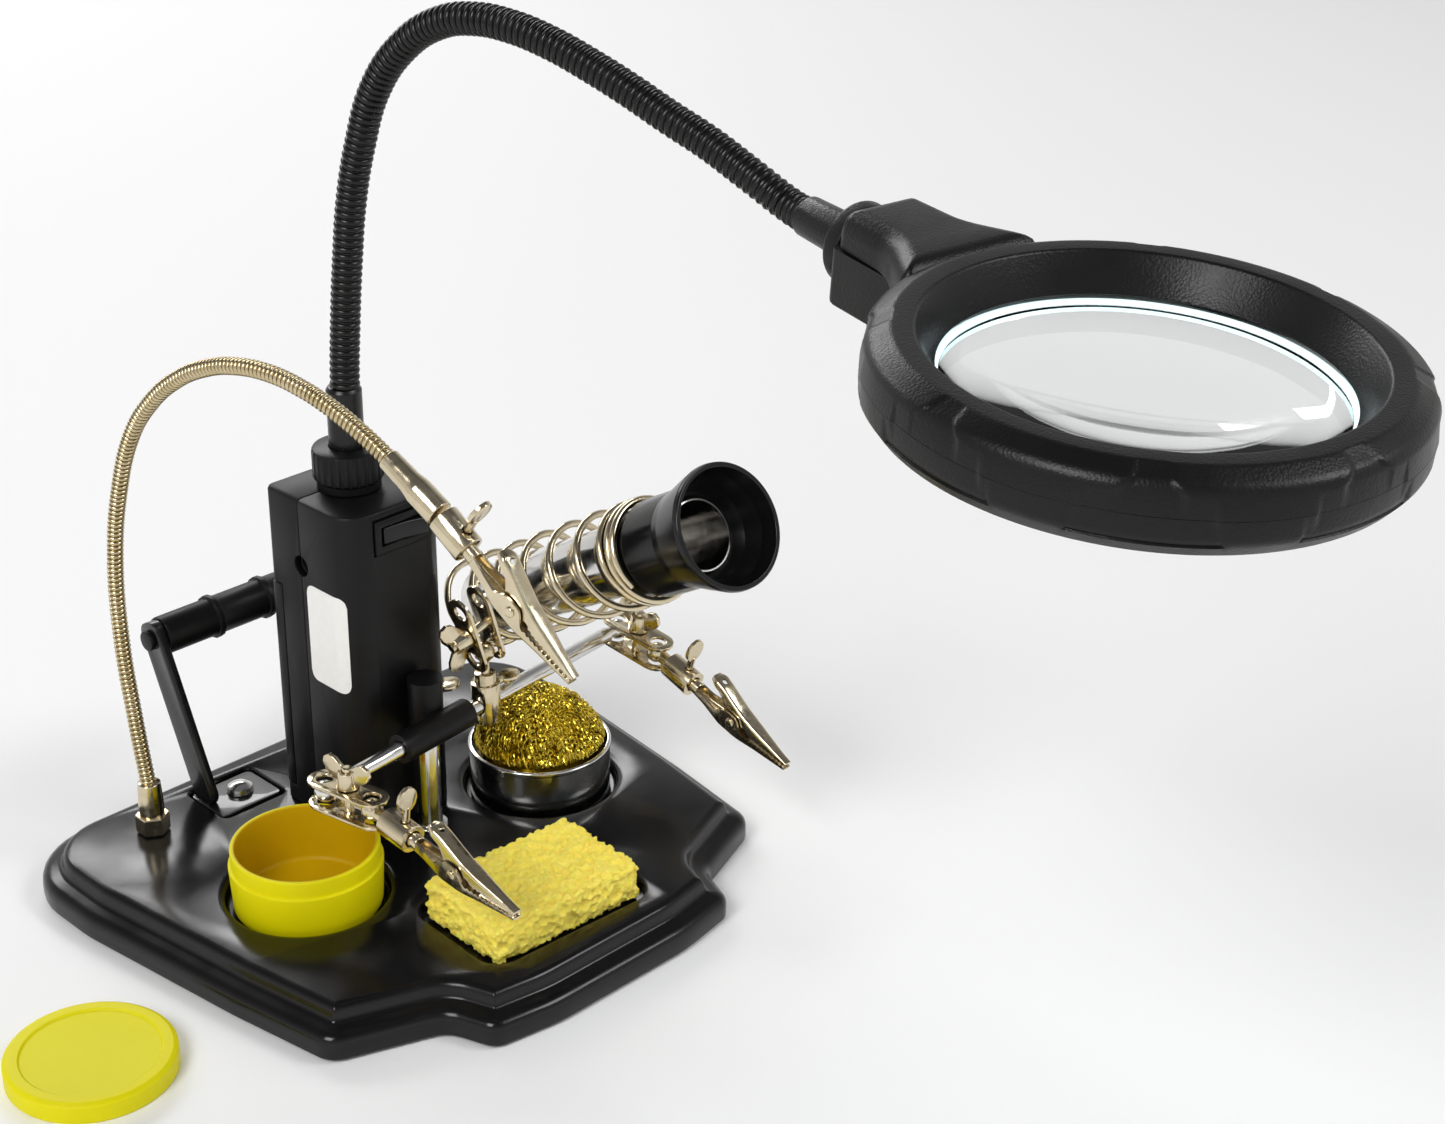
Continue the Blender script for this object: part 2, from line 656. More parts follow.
COLLAR_AT = Vector((-1.6 * MM, 33.0 * MM, 122.8 * MM))
RIBS = 26
collar_rings = []
for radius, z in ((9.2, 0.0), (9.6, 0.2), (9.6, 2.4), (10.2, 3.0), (10.6, 3.6), (10.6, 11.6), (10.2, 12.4),
    (9.4, 12.8), (5.6, 12.8), (5.6, 0.0)):
    ribbed = 3.0 < z < 12.3 and radius > 8
    ring = []
    for i in range(RIBS * 8):
        angle = 2 * math.pi * i / (RIBS * 8)
        dip = 0.45 * max(0.0, math.cos(RIBS * angle)) ** 0.6 if ribbed else 0.0
        reach = (radius - dip) * MM
        ring.append((COLLAR_AT.x + reach * math.cos(angle), COLLAR_AT.y + reach * math.sin(angle),
            COLLAR_AT.z + z * MM))
    collar_rings.append(ring)
collar_work = bmesh.new()
rows = [[collar_work.verts.new(point) for point in ring] for ring in collar_rings]
for near, far in zip(rows, rows[1:] + rows[:1]):
    for i in range(len(near)):
        collar_work.faces.new((near[i], near[(i + 1) % len(near)], far[(i + 1) % len(near)], far[i]))
show("collar", mesh_of(collar_work), SATIN_BLACK, "station", "black_satin", "gooseneck_collar", smooth=30)
foot_sleeve = turned([(5.3 * MM, 0.3 * MM, 0), (5.3 * MM, 30.5 * MM, 0.6 * MM),
    (4.6 * MM, 31.5 * MM, 0.2 * MM), (3.9 * MM, 31.5 * MM, 0), (3.9 * MM, 0.3 * MM, 0)], 48, 4,
    Matrix.Translation(COLLAR_AT))
show("gooseneck_foot_sleeve", foot_sleeve, SLEEVE_BLACK, "lamp_lower", "black_gloss")


# ---- Magnifier head
# Two black covers on a ring, the upper with eight flush grip pads and a grained inner slope, hold
# the lens, the ring of lights and its milky diffuser. The neck block ends in a flange and sleeve.

def grained_black():
    """Leather-like moulded grain."""
    material, tree, shader = shader_of("grained_black_abs", (0.004, 0.004, 0.0042), 0.3, IOR=1.34)
    place = object_place(tree)
    cells = tree.nodes.new("ShaderNodeTexVoronoi")
    cells.feature = "F1"
    cells.inputs["Scale"].default_value = 1500
    tree.links.new(place, cells.inputs["Vector"])
    bump(tree, shader, cells.outputs["Distance"], 0.3, 0.00015)
    bump(tree, shader, noise(tree, place, 900, 3), 0.15, 0.00015)
    tree.links.new(spread(tree, noise(tree, place, 70), 0.3, 0.42), shader.inputs["Roughness"])
    return material


GRAINED_BLACK = grained_black()
PADS = 8
SEGMENTS = 576


def pad_lift(angle, share):
    """How far a grip pad stands out at an angle round the ring; share is 0 at its top edge, 1 below."""
    turn = (angle / (2 * math.pi) * PADS) % 1.0
    wave = 0.30 + 0.13 * math.cos(share * math.pi)
    across_pad = abs(turn - 0.5)
    edge = (wave - across_pad) / 0.014
    return min(max(edge + 0.5, 0.0), 1.0)


def ring_cover(corners, steps, place, lifted):
    points = rounded(corners, steps)
    work = bmesh.new()
    rows = []
    for point in points:
        share = min(max((9.0 * MM - point.y) / (13.0 * MM), 0.0), 1.0)
        row = []
        for i in range(SEGMENTS):
            angle = 2 * math.pi * i / SEGMENTS
            reach = point.x
            if lifted and point.x > 53.6 * MM and point.y > -6 * MM:
                fade = min((point.x - 53.6 * MM) / (1.5 * MM), 1.0)
                reach -= 0.6 * MM * fade * (1.0 - pad_lift(angle, share))
            row.append(work.verts.new((reach * math.cos(angle), reach * math.sin(angle), point.y)))
        rows.append(row)
    for near, far in zip(rows, rows[1:] + rows[:1]):
        for i in range(SEGMENTS):
            work.faces.new((near[i], near[(i + 1) % SEGMENTS], far[(i + 1) % SEGMENTS], far[i]))
    mesh = mesh_of(work)
    mesh.transform(place)
    return mesh


def mm_corners(rows):
    return [tuple(value * MM for value in row) for row in rows]


top_ring = ring_cover(mm_corners([
    (49.3, 9.0, 1.2), (54.4, 9.0, 3.2), (59.6, 6.4, 4.0), (60.6, 0.03, 0.05), (58.6, 0.03, 0), (56.2, 6.0, 0),
    (52.8, 7.0, 0), (49.6, 7.0, 0), (46.0, 0.15, 0), (44.0, 0.15, 0.2)]), 6, HEAD, True)
bottom_ring = ring_cover(mm_corners([
    (60.6, -0.03, 0.05), (60.5, -5.2, 4.0), (57.6, -9.0, 1.0), (55.0, -9.0, 0.3), (55.0, -7.2, 0),
    (57.2, -6.6, 0), (58.6, -0.03, 0)]), 6, HEAD, True)


def block(outline, levels, place):
    rings = [[(p.x, p.y, z * MM) for p in rounded(moved_in(outline, inset * MM), 6)] for inset, z in levels]
    mesh = lofted(rings)
    mesh.transform(place)
    return mesh


hump_half = [(-89.0, -11.5, 3.6), (-70.4, -12.4, 16.0), (-53.6, -22.0, 2.5)]
hump_outline = mm_corners(hump_half + [(x, -y, radius) for x, y, radius in reversed(hump_half)])
hump = block(hump_outline, ((0.0, 0.15), (0.0, 4.0), (0.2, 5.4), (0.7, 6.8), (1.5, 7.9), (2.4, 8.7),
    (3.6, 9.3), (5.0, 9.5)), HEAD)
neck_outline = mm_corners([(-89.5, -12.5, 2.4), (-59.4, -13.0, 2.4), (-59.4, 13.0, 2.4), (-89.5, 12.5, 2.4)])
neck_block = block(neck_outline, ((1.6, -14.5), (0.7, -14.2), (0.1, -13.5), (0.0, -12.8), (0.0, -0.15)), HEAD)
LAY_X = Matrix.Rotation(math.radians(90), 4, "Y")
neck_axis = HEAD @ Matrix.Translation((0, 0, NECK_Z)) @ LAY_X
flange = turned(mm_corners([(0.0, -95.0, 0), (10.4, -95.0, 1.2), (10.4, -89.8, 0.6), (0.0, -89.8, 0)]), 64,
    5, neck_axis)
sleeve = turned(mm_corners([(4.75, -112.6, 0), (5.1, -112.6, 0.4), (5.6, -94.0, 0), (4.75, -94.0, 0)]), 48,
    3, neck_axis)
web = turned(mm_corners([(0.0, -90.5, 0), (8.0, -90.5, 0), (8.0, -87.5, 0), (0.0, -87.5, 0)]), 40, 3,
             neck_axis @ Matrix.Translation((5 * MM, 0, 0)))
show("head_top", joined(top_ring, hump), GRAINED_BLACK, "head", "black_satin", "head_top_cover", smooth=45)
show("head_bottom", joined(bottom_ring, neck_block, flange, sleeve, web), GRAINED_BLACK, "head",
    "black_satin", "head_bottom_cover", smooth=45)


def clear_glass():
    return shader_of("lens_glass", (0.985, 1.0, 0.995), 0.0, 0.0, Transmission_Weight=1.0, IOR=1.5)[0]


lens_corners = [(0.0, 0.8, 0), (10.0, 0.76, 0), (20.0, 0.5, 0), (30.0, -0.05, 0), (38.0, -0.8, 0),
    (43.4, -1.5, 0.2), (43.4, -7.4, 0.2), (38.0, -8.3, 0), (30.0, -9.2, 0), (20.0, -10.1, 0),
    (10.0, -10.65, 0), (0.0, -10.8, 0)]
show("lens", turned(mm_corners(lens_corners), 160, 3, HEAD), clear_glass(), "head", "glass",
    "magnifier_lens", smooth=70)


def milky_white():
    """A milky ring with the lights behind it lit."""
    material, tree, shader = shader_of("milky_diffuser", (0.9, 0.98, 1.0), 0.35, Emission_Strength=0.9)
    shader.inputs["Emission Color"].default_value = (0.72, 0.97, 1.0, 1)
    place = object_place(tree)
    bump(tree, shader, noise(tree, place, 400, 2), 0.1, 0.0002)
    return material


diffuser_corners = mm_corners([(54.6, -7.4, 0.2), (54.6, -8.8, 0.3), (42.4, -8.8, 0.2), (42.4, -7.7, 0),
    (43.8, -7.7, 0), (43.8, -1.2, 0.2), (45.4, -1.2, 0.2), (45.4, -7.4, 0)])
show("diffuser", turned(diffuser_corners, 160, 3, HEAD), milky_white(), "head", "diffuser", "led_diffuser")


def solder_mask():
    material, tree, shader = shader_of("white_solder_mask", (0.8, 0.82, 0.8), 0.4)
    place = object_place(tree)
    share = noise(tree, place, 500, 2)
    two_tone(tree, shader, share, (0.74, 0.76, 0.74), (0.86, 0.87, 0.85))
    return material


refined("led_ring_board", "head", "board", solder_mask(), 0.1 * MM)


# ---- Helping hand
# A polished post with a black plastic clamp carries a nickel-plated cross rod. Balls at its ends
# sit between seat plates, drawn together by a bolt and a wing nut.

def nickel():
    """Bright, slightly yellow plating with faint polishing marks."""
    material, tree, shader = shader_of("nickel_plate", (0.80, 0.745, 0.64), 0.16, 1.0)
    place = object_place(tree)
    share = noise(tree, place, 120, 3)
    two_tone(tree, shader, share, (0.80, 0.71, 0.52), (0.56, 0.47, 0.31))
    tree.links.new(spread(tree, noise(tree, place, 500, 4), 0.10, 0.26), shader.inputs["Roughness"])
    bump(tree, shader, noise(tree, place, 260, 2), 0.12, 0.0004)
    return material


def polished_steel():
    material, tree, shader = shader_of("polished_steel", (0.74, 0.73, 0.71), 0.12, 1.0)
    place = object_place(tree)
    tree.links.new(spread(tree, noise(tree, place, 300, 4), 0.07, 0.2), shader.inputs["Roughness"])
    bump(tree, shader, noise(tree, place, 150, 2), 0.06, 0.0004)
    return material


NICKEL = nickel()
STEEL = polished_steel()
refined("post", "station", "steel", STEEL, 0.4 * MM, 3)
refined("post_clamp", "clamp", "black_satin", SATIN_BLACK, 0.4 * MM, 3)
refined("clamp_thumbscrew", "clamp_thumbscrew", "nickel", NICKEL, 0.2 * MM)
refined("cross_rod", "rod", "steel", STEEL, 0.15 * MM)
refined("rod_t_clamp", "middle_clamp", "nickel", NICKEL, 0.3 * MM)
for side in ("left", "middle", "right"):
    refined(f"{side}_stud_plate", f"{side}_plates", "nickel", NICKEL, 0.22 * MM, 3)
    refined(f"{side}_clamp_plate", f"{side}_plates", "nickel", NICKEL, 0.22 * MM, 3)
    refined(f"{side}_wing_nut", f"{side}_wing_nut", "nickel", NICKEL, 0.3 * MM, 3)


# ---- Crocodile clips
# Pressed steel, nickel plated: a channel with toothed edges, a second one inside it on a rivet,
# and a tail held in a socket by a thumbscrew. Three alike, two on the bar and one on the flexible arm.

TOOTH_PITCH = 1.55
CLIP_TIP = 43.0


def tooth(x):
    """A tooth's height in mm, this far along the clip in mm."""
    if not 26.0 < x < CLIP_TIP - 0.6:
        return 0.0
    return abs(((x / TOOTH_PITCH) % 1.0) * 2 - 1) * 0.75


def channel_ring(x, width, low, high, up, biting):
    """The U section of a pressed channel: outside, round corners, then back along the inside."""
    half = width / 2
    wall = 0.62
    round_by = min(1.1, half * 0.5, (high - low) * 0.6)
    inner_by = max(round_by - wall, 0.12)
    edge = high + (biting if up else 0.0)
    bottom = low
    if not up:
        edge, bottom = low - biting, high
    way = 1 if up else -1
    points = [(-half, edge)]
    for step in range(5):
        angle = math.pi + math.pi / 2 * step / 4
        points.append((-half + round_by + round_by * math.cos(angle),
            bottom + way * (round_by + round_by * math.sin(angle))))
    for step in range(5):
        angle = 1.5 * math.pi + math.pi / 2 * step / 4
        points.append((half - round_by + round_by * math.cos(angle),
            bottom + way * (round_by + round_by * math.sin(angle))))
    points += [(half, edge), (half - wall, edge)]
    for step in range(5):
        angle = -math.pi / 2 * step / 4
        points.append((half - wall - inner_by + inner_by * math.cos(angle),
                       bottom + way * (wall + inner_by + inner_by * math.sin(angle))))
    for step in range(5):
        angle = -math.pi / 2 - math.pi / 2 * step / 4
        points.append((-half + wall + inner_by + inner_by * math.cos(angle),
                       bottom + way * (wall + inner_by + inner_by * math.sin(angle))))
    points.append((-half + wall, edge))
    return [(x * MM, y * MM, z * MM) for y, z in points]


def pressed_channel(rows, up, place, spacing=0.3875):
    stations = np.array(rows)
    xs = np.arange(stations[0, 0], stations[-1, 0], spacing)
    xs = np.append(xs, stations[-1, 0])
    values = [np.interp(xs, stations[:, 0], stations[:, k]) for k in (1, 2, 3)]
    soft = np.ones(5) / 5
    smoothed = []
    for value in values:
        padded_ends = np.concatenate([np.full(2, value[0]), value, np.full(2, value[-1])])
        smoothed.append(np.convolve(padded_ends, soft, mode="valid"))
    rings = [channel_ring(x, w, low, high, up, tooth(x)) for x, w, low, high in zip(xs, *smoothed)]
    mesh = lofted(rings)
    mesh.transform(place)
    return mesh


BODY_ROWS = [(2.0, 3.6, -1.9, 1.5), (7.0, 4.4, -2.3, 0.8), (13.0, 6.6, -2.6, 0.9), (15.6, 7.4, -2.8, 3.6),
             (18.0, 7.4, -2.8, 4.4), (22.0, 7.4, -2.8, 4.2), (24.8, 7.0, -2.7, 0.1), (29.0, 6.0, -2.3, -0.3),
             (CLIP_TIP, 2.8, -1.2, -0.45)]
JAW_ROWS = [(7.6, 3.4, 9.2, 10.6), (9.6, 5.6, 8.8, 10.9), (13.5, 5.2, 7.0, 9.8), (16.8, 5.2, 1.5, 8.4),
            (18.2, 5.2, -0.4, 7.8), (21.8, 5.2, -0.4, 6.4), (24.0, 5.2, 2.6, 5.8), (28.0, 5.0, 1.5, 4.8),
            (CLIP_TIP - 2, 2.9, 1.0, 1.9), (CLIP_TIP, 2.6, 1.0, 1.6)]
LAY_Y = Matrix.Rotation(math.radians(-90), 4, "X")


def clip_pieces(side, mouth):
    hole = turned([(0.0, -3 * MM, 0), (0.95 * MM, -3 * MM, 0), (0.95 * MM, 3 * MM, 0), (0.0, 3 * MM, 0)],
        24, 1, mouth @ Matrix.Translation((11.4 * MM, 0, 9.8 * MM)))
    body = pressed_channel(BODY_ROWS, True, mouth)
    tail = turned(mm_corners([(0.0, -8.0, 0), (2.2, -8.0, 0.4), (2.2, 3.0, 0.3), (0.0, 3.0, 0)]), 32, 3,
        mouth @ LAY_X)
    rivet_at = mouth @ Matrix.Translation((20 * MM, 0, 1.5 * MM)) @ LAY_Y
    rivet = turned(mm_corners([(0.0, -4.3, 0), (1.5, -4.3, 0.5), (1.5, -3.75, 0), (0.95, -3.7, 0),
        (0.95, 3.7, 0), (1.5, 3.75, 0), (1.5, 4.3, 0.5), (0.0, 4.3, 0)]), 28, 3, rivet_at)
    show(f"{side}_clip_body_piece", joined(body, tail, rivet), NICKEL, f"{side}_clip", "nickel",
        f"{side}_clip_body", smooth=35)
    jaw = cut_from(pressed_channel(JAW_ROWS, False, mouth), hole)
    show(f"{side}_clip_jaw_piece", jaw, NICKEL, f"{side}_jaw", "nickel", f"{side}_clip_jaw", smooth=35)


HAND = Matrix.Translation((2.0 * MM, 6.0 * MM, 0)) @ Matrix.Rotation(math.radians(6.3), 4, "Z")
SEAT_SPACING = 17.8 * MM
FLEX_END = Vector((-47.7 * MM, -67.4 * MM, 161.3 * MM))
FLEX_AIM = Vector((0.083, -0.805, -0.587))


def far_ball(distance, direction):
    """The clip's ball: one seat spacing on from the rod's end."""
    start = HAND @ Vector((distance, -7.75 * MM, 53.0 * MM))
    return start + Vector(direction).normalized() * SEAT_SPACING


sockets = {
    "left": along((0.03, -0.99, -0.13), origin=far_ball(-49.3 * MM, (0.18, -0.98, 0.0))),
    "right": along((0.0, -0.955, -0.297), origin=far_ball(80.4 * MM, (0.05, -0.99, -0.12))),
    "flex": along(FLEX_AIM, origin=FLEX_END + FLEX_AIM.normalized() * (0.5 - 6.6) * MM),
}
for side, socket_at in sockets.items():
    holder = "flex_upper" if side == "flex" else f"{side}_socket"
    refined(f"{side}_clip_socket", holder, "nickel", NICKEL, 0.35 * MM, 3)
    refined(f"{side}_thumbscrew", f"{side}_thumbscrew", "nickel", NICKEL, 0.3 * MM, 3)
    clip_pieces(side, socket_at @ Matrix.Translation((17.5 * MM, 0, 0)))


# ---- Iron rest
# One length of nickel-plated wire rises from the base and coils round a thin steel heat tube.
# Its close front turns grip the neck of a glossy black moulded funnel.

REST_START = Vector((43.7 * MM, 34.5 * MM, 65.0 * MM))
REST_AIM = Vector((42.7 * MM, -81.5 * MM, 133.4 * MM))
REST = along(REST_AIM - REST_START, origin=REST_START)
WIRE = 1.15 * MM
LEG_AT = (46.0 * MM, 31.5 * MM)
coil_knots = [Vector((*LEG_AT, 8.8 * MM)), Vector((*LEG_AT, 20 * MM)), Vector((*LEG_AT, 30 * MM)),
    Vector((*LEG_AT, 40 * MM)), Vector((*LEG_AT, 46 * MM))]
PER_TURN = 24
for step in range(6 * PER_TURN + 1):
    share = step / (6 * PER_TURN)
    angle = math.radians(-150) + 2 * math.pi * 6 * share
    reach = (13.6 + 1.3 * share) * MM
    coil_knots.append(REST @ Vector(((87 * share - 3) * MM, reach * math.cos(angle),
        reach * math.sin(angle))))
for step in range(1, 3 * PER_TURN + 1):
    share = step / PER_TURN
    angle = math.radians(-150) + 2 * math.pi * share
    x = 84 * MM + 2.6 * MM * share + 8.5 * MM * min(share, 1.0)
    coil_knots.append(REST @ Vector((x, 14.9 * MM * math.cos(angle), 14.9 * MM * math.sin(angle))))
show("rest_coil", swept(smooth_path(coil_knots, 0.9 * MM), WIRE, 12), NICKEL, "iron_rest", "nickel",
    "iron_coil", smooth=60)
rest_axis = REST @ LAY_X
funnel = turned(mm_corners([(18.4, 134.7, 0.5), (18.6, 133.0, 0.6), (17.2, 127.7, 0), (15.2, 120.7, 2),
    (14.6, 117.7, 0.5), (14.6, 103.0, 0.3), (12.9, 103.0, 0), (12.9, 88.0, 0.3), (11.0, 88.0, 0),
    (11.0, 120.7, 0), (13.6, 124.7, 2), (15.8, 129.7, 1), (17.0, 134.7, 0.3)]), 96, 5, rest_axis)
show("rest_funnel", funnel, GLOSS_BLACK, "iron_rest", "black_gloss", "iron_funnel", smooth=30)
heat_tube = turned(mm_corners([(10.7, 121.7, 0.2), (10.7, 12.0, 0.2), (10.1, 12.0, 0), (10.1, 121.7, 0)]),
    72, 2, rest_axis)
show("rest_tube", heat_tube, STEEL, "iron_rest", "steel", "heat_tube", smooth=40)


# ---- Flexible arm
# A thinner wound hose of plated steel, with a hexagon nut and ferrule at its foot and a sleeve at
# the clip's socket. It bends over the place where the CAD arm is hinged.

FLEX_AT = Vector((-61.0 * MM, 63.5 * MM, 0))
flex_knots = [(-61.0, 63.5, 29.0), (-61.3, 66.6, 50.0), (-61.7, 69.3, 80.0), (-61.6, 68.0, 107.0),
    (-61.0, 63.2, 129.0), (-60.2, 55.2, 148.5), (-59.3, 45.7, 161.0), (-58.0, 33.0, 171.8),
    (-56.6, 19.9, 178.8), (-55.4, 7.5, 182.6), (-54.0, -5.6, 184.0), (-52.8, -18.1, 183.0),
    (-51.8, -28.6, 180.6), (-50.6, -40.0, 176.4), (-49.6, -49.0, 172.0), (-49.0, -55.0, 168.6)]
flex_path = smooth_path([Vector(point) * MM for point in flex_knots], 0.8 * MM)


def hose_plate():
    """Plating with a warmer, darker tone down between the turns."""
    material, tree, shader = shader_of("hose_plate", (0.72, 0.64, 0.46), 0.22, 1.0)
    place = object_place(tree)
    share = noise(tree, place, 80, 3)
    two_tone(tree, shader, share, (0.72, 0.63, 0.44), (0.46, 0.36, 0.18))
    bump(tree, shader, noise(tree, place, 600, 2), 0.1, 0.0002)
    return material


HOSE_PLATE = hose_plate()
flex_core = swept(flex_path, 1.75 * MM, 20)
flex_rings = wound_rings("hose_rings", flex_path, 1.85 * MM, 0.65 * MM, 1.55 * MM, HOSE_PLATE, 20)
hose = show("hose", joined(flex_core, flex_rings), HOSE_PLATE, None, "nickel", smooth=60)
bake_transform(hose)
hexagon = lofted([[(FLEX_AT.x + r * MM * math.cos(a), FLEX_AT.y + r * MM * math.sin(a), z * MM)
                   for a in [math.pi / 3 * i + math.pi / 6 for i in range(6)]]
                  for r, z in ((4.9, 14.5), (5.2, 14.8), (5.2, 20.1), (4.9, 20.5))])
ferrule = turned(mm_corners([(0.0, 19.5, 0), (3.9, 19.5, 0), (3.9, 24.0, 0.6), (3.5, 31.6, 0.4),
    (2.2, 32.0, 0.2), (0.0, 32.0, 0)]), 40, 4, Matrix.Translation(FLEX_AT))
show("hose_foot", joined(hexagon, ferrule), NICKEL, "flex_lower", "nickel", "flex_arm_lower", smooth=30)
flex_last = Vector((-49.6, -49.0, 172.0)) * MM
sleeve_run = (FLEX_END - flex_last)
sleeve_at = Matrix.Translation(flex_last) @ sleeve_run.to_track_quat("Z", "Y").to_matrix().to_4x4()
length = sleeve_run.length / MM
hose_sleeve = turned(mm_corners([(0.0, 0.0, 0), (3.0, 0.0, 0.5), (3.3, 9.0, 0), (3.8, 12.0, 0.6),
    (3.8, length - 0.6, 0.5), (0.0, length - 0.6, 0)]), 40, 4, sleeve_at)
show("hose_sleeve", hose_sleeve, NICKEL, "flex_upper", "nickel", "flex_arm_upper", smooth=30)


# ---- Reel bracket
# A painted steel bracket, screwed down in its seat, holds a moulded spindle that a reel slides on.

def painted_black():
    material, tree, shader = shader_of("black_paint", (0.005, 0.005, 0.0055), 0.3, Coat_Weight=0.4)
    place = object_place(tree)
    bump(tree, shader, noise(tree, place, 320, 3), 0.12, 0.0003)
    tree.links.new(spread(tree, noise(tree, place, 60), 0.25, 0.4), shader.inputs["Roughness"])
    return material


refined("spool_bracket", "station", "black_painted", painted_black(), 0.5 * MM, 3)
refined("bracket_screw", "station", "steel", STEEL, 0.0)
refined("spool_spindle", "spindle", "black_satin", SATIN_BLACK, 0.25 * MM, 2, smooth=50)


# ---- Flux cup and lid
# Thin, slightly see-through yellow polypropylene. The lid presses over a step round the cup's rim.

def yellow_plastic():
    material, tree, shader = shader_of("yellow_polypropylene", (0.80, 0.73, 0.0), 0.48, IOR=1.3,
                                       Subsurface_Weight=0.25, Subsurface_Scale=0.003)
    shader.inputs["Subsurface Radius"].default_value = (1.0, 0.8, 0.1)
    place = object_place(tree)
    share = noise(tree, place, 30, 2)
    outside = mixed_colour(tree, share, (0.80, 0.73, 0.0), (0.74, 0.66, 0.0))
    from_axis = tree.nodes.new("ShaderNodeVectorMath")
    from_axis.operation = "LENGTH"
    flat_place = object_place(tree, (1, 1, 0))
    flat_place.node.inputs["Location"].default_value = (-FLUX_AT.x, -FLUX_AT.y, 0)
    tree.links.new(flat_place, from_axis.inputs[0])
    wall = tree.nodes.new("ShaderNodeMapRange")
    wall.inputs["From Min"].default_value = 20.7 * MM
    wall.inputs["From Max"].default_value = 21.6 * MM
    tree.links.new(from_axis.outputs["Value"], wall.inputs["Value"])
    stained = mixed_colour(tree, wall.outputs["Result"], (0.58, 0.37, 0.0), (0.80, 0.73, 0.0))
    tree.links.new(outside, stained.node.inputs[7])
    tree.links.new(stained, shader.inputs["Base Color"])
    bump(tree, shader, noise(tree, place, 180, 2), 0.08, 0.0005)
    return material


YELLOW = yellow_plastic()
CUP_FLOOR = 9.8
cup = turned(mm_corners([(22.1, 30.0, 0.5), (22.1, 24.8, 0), (22.9, 24.4, 0.3), (22.1, CUP_FLOOR, 1.0),
    (0.0, CUP_FLOOR, 0), (0.0, CUP_FLOOR + 1.5, 0), (20.0, CUP_FLOOR + 1.5, 1.5), (20.6, 30.0, 0.5)]), 128,
    5, Matrix.Translation(FLUX_AT))
show("tip_cleaner_cup", cup, YELLOW, "flux_cup", "yellow", "flux_cup", smooth=30)
LID_AT = Vector((-130.6 * MM, -8.0 * MM, 0))
lid = turned(mm_corners([(0.0, 5.6, 0), (19.0, 5.6, 0.4), (19.6, 6.2, 0.4), (22.4, 6.2, 0.6),
    (23.8, 5.4, 0.7), (23.8, 0.0, 0.3), (22.7, 0.0, 0.3), (22.7, 4.8, 0.6), (0.0, 4.8, 0)]), 128, 5,
    Matrix.Translation(LID_AT))
show("tip_cleaner_lid", lid, YELLOW, "flux_lid", "yellow", "flux_lid", smooth=30)


# ---- Brass wool in its cup
# A spun steel cup holds a tangle of curled brass shavings that wipe a hot tip.

steel_cup = turned(mm_corners([(22.0, 28.2, 0.3), (22.8, 27.9, 0.4), (22.8, 26.8, 0.4), (22.4, 26.3, 0),
    (22.4, CUP_FLOOR, 1.4), (0.0, CUP_FLOOR, 0), (0.0, CUP_FLOOR + 0.9, 0), (21.5, CUP_FLOOR + 0.9, 1.0),
    (21.5, 28.2, 0.3)]), 128, 5, Matrix.Translation(WOOL_AT))
show("wool_cup_piece", steel_cup, STEEL, "wool_cup", "steel", "wool_cup", smooth=30)


def brass():
    material, tree, shader = shader_of("brass_shavings", (0.83, 0.62, 0.16), 0.24, 1.0)
    place = object_place(tree)
    share = noise(tree, place, 160, 2)
    two_tone(tree, shader, share, (0.86, 0.68, 0.10), (0.42, 0.30, 0.01))
    return material


BRASS = brass()
WOOL_RADIUS = 20.4
WOOL_EDGE = 19.3
WOOL_LOW = 25.0
WOOL_HIGH = 46.0
STRANDS = 300
curls = random.Random(7)
wool_parts = [turned(mm_corners([(0.0, 39.0, 0), (9.0, 37.0, 0), (14.5, 32.0, 0), (17.0, 25.0, 0),
    (18.0, 11.2, 0), (0.0, 11.2, 0)]), 48, 1)]
for strand in range(STRANDS):
    turn_at = curls.uniform(0, 2 * math.pi)
    out = WOOL_RADIUS * math.sqrt(curls.uniform(0.0, 1.0))
    heading = curls.uniform(0, 2 * math.pi)
    coil_radius = curls.uniform(1.0, 1.8)
    run = curls.uniform(11, 24)
    bend = curls.uniform(-0.12, 0.12)
    phase = curls.uniform(0, 6.28)
    x, y = out * math.cos(turn_at), out * math.sin(turn_at)
    points = []
    count = int(run * 4.5)
    for k in range(count):
        x += run / count * math.cos(heading)
        y += run / count * math.sin(heading)
        heading += bend * run / count
        from_middle = math.hypot(x, y)
        if from_middle > WOOL_EDGE:
            x *= WOOL_EDGE / from_middle
            y *= WOOL_EDGE / from_middle
            from_middle = WOOL_EDGE
            heading += 0.25
        level = WOOL_LOW + (WOOL_HIGH - WOOL_LOW) * math.sqrt(max(1 - (from_middle / WOOL_RADIUS) ** 2,
            0.0)) - 2.2
        swing = phase + k * 0.95
        side_x, side_y = -math.sin(heading), math.cos(heading)
        lift = coil_radius * math.sin(swing)
        shift = coil_radius * math.cos(swing)
        points.append(((x + side_x * shift) * MM, (y + side_y * shift) * MM,
            (level + lift + curls.uniform(-0.15, 0.15)) * MM))
    wool_parts.append(swept(points, 0.24 * MM, 4))
wool = joined(*wool_parts)
wool.transform(Matrix.Translation(WOOL_AT))
show("brass_wool_piece", wool, BRASS, "brass_wool", "brass", "brass_wool", smooth=50)


# ---- Sponge
# A block of yellow cellulose sponge in its tray, cut square, with open pores of many sizes.

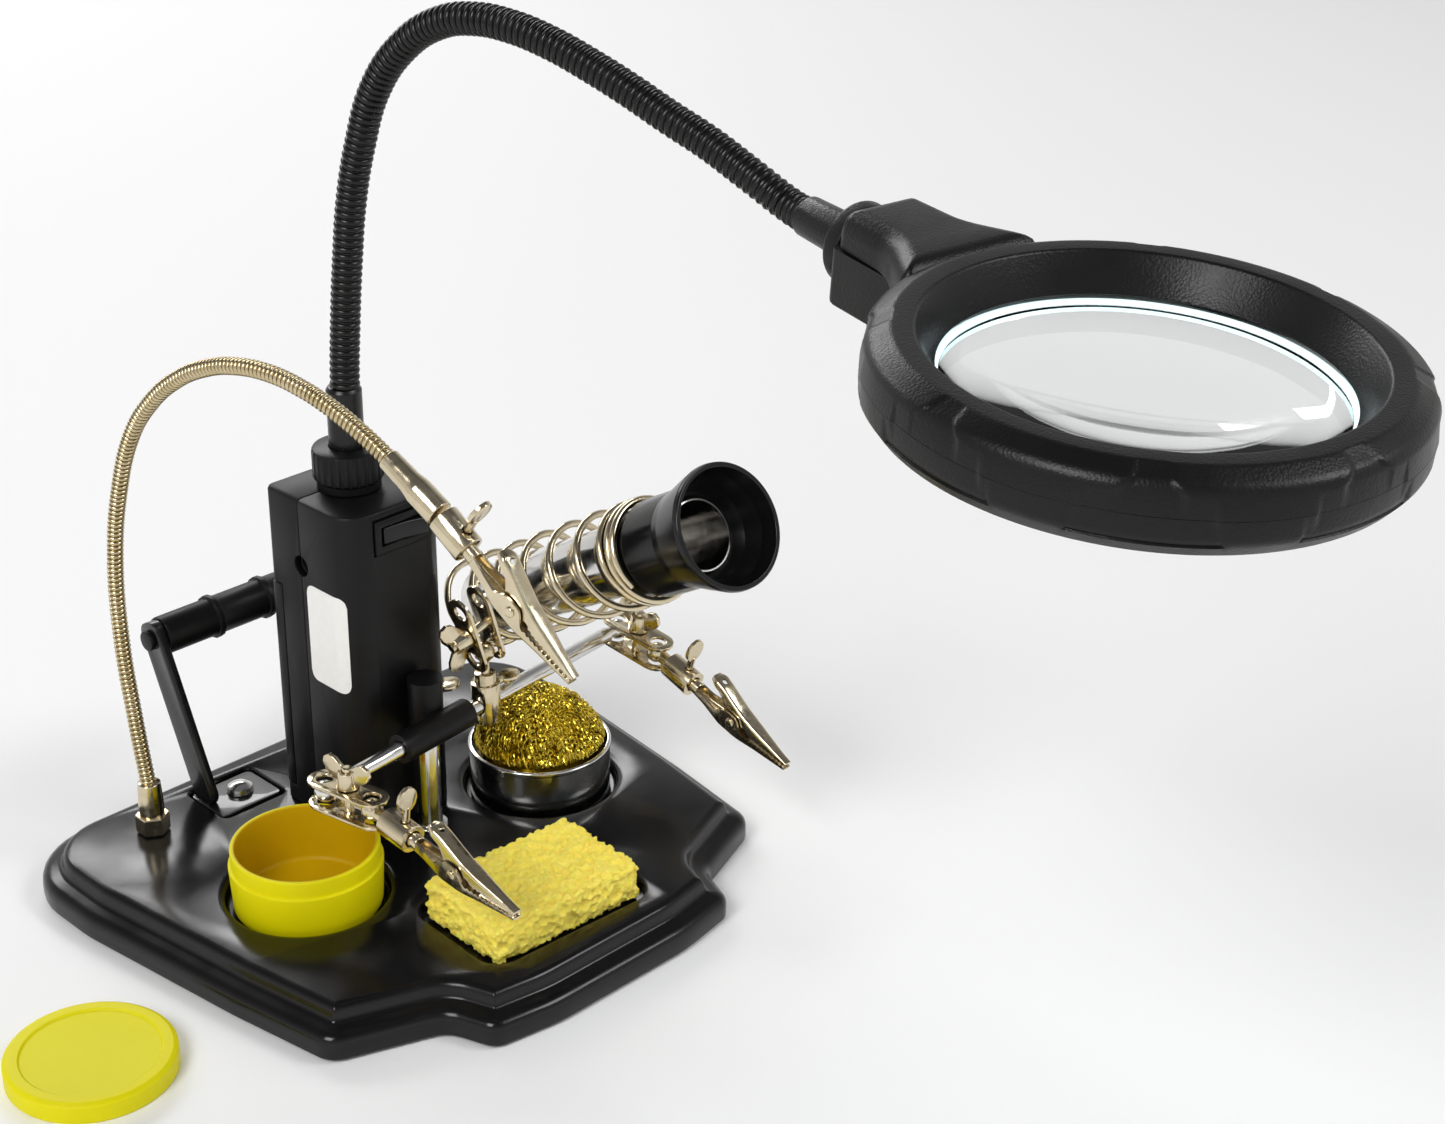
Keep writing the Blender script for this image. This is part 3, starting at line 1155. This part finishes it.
SPONGE_SIZE = Vector((54.5 * MM, 35.5 * MM, 13.0 * MM))
sponge_work = bmesh.new()
bmesh.ops.create_cube(sponge_work, size=1.0)
bmesh.ops.scale(sponge_work, vec=SPONGE_SIZE - Vector((0.4, 0.4, 0.2)) * MM, verts=sponge_work.verts)
sponge_mesh = bpy.data.meshes.new("sponge")
sponge_work.to_mesh(sponge_mesh)
sponge_work.free()
sponge_block = object_from("work", sponge_mesh)
soften = sponge_block.modifiers.new("edges", "BEVEL")
soften.width = 1.1 * MM
soften.segments = 3
even = sponge_block.modifiers.new("even", "REMESH")
even.mode = "VOXEL"
even.voxel_size = 0.4 * MM
sponge_mesh = final_mesh(sponge_block)
places = np.empty(len(sponge_mesh.vertices) * 3)
sponge_mesh.vertices.foreach_get("co", places)
places = places.reshape(-1, 3)
normals = np.empty(len(sponge_mesh.vertices) * 3)
sponge_mesh.vertices.foreach_get("normal", normals)
normals = normals.reshape(-1, 3)
pores = np.random.default_rng(11)
rest_places = places.copy()
deepest = np.zeros(len(places))
PORES = 3800
for size in pores.gamma(1.6, 0.28, PORES) * MM + 0.25 * MM:
    size = min(size, 2.0 * MM)
    spot = rest_places[pores.integers(len(places))]
    stretch = 1 + pores.uniform(-0.35, 0.35)
    offset = (rest_places - spot) * (stretch, 1 / stretch, 1.0)
    gap = np.linalg.norm(offset, axis=1)
    deepest = np.maximum(deepest, np.sqrt(np.clip(size ** 2 - gap ** 2, 0, None)) * 0.8)
places = rest_places - normals * np.minimum(deepest, 1.2 * MM)[:, None]
sponge_mesh.vertices.foreach_set("co", places.reshape(-1))
sponge_mesh.update()
sponge_mesh.transform(Matrix.Translation(SPONGE_AT + Vector((0, 0, 17.5 * MM))) @ SPONGE_TURN)


def cellulose():
    material, tree, shader = shader_of("yellow_cellulose", (0.95, 0.74, 0.1), 0.85, Subsurface_Weight=0.3,
        Subsurface_Scale=0.002)
    place = object_place(tree)
    cells = tree.nodes.new("ShaderNodeTexVoronoi")
    cells.inputs["Scale"].default_value = 900
    tree.links.new(place, cells.inputs["Vector"])
    share = noise(tree, place, 350, 4)
    two_tone(tree, shader, share, (0.99, 0.86, 0.18), (0.93, 0.70, 0.05))
    bump(tree, shader, cells.outputs["Distance"], 0.5, 0.0005)
    bump(tree, shader, noise(tree, place, 1500, 3), 0.4, 0.0003)
    return material


sponge = show("cellulose_sponge", sponge_mesh, cellulose(), "sponge", "sponge", "sponge", smooth=80)
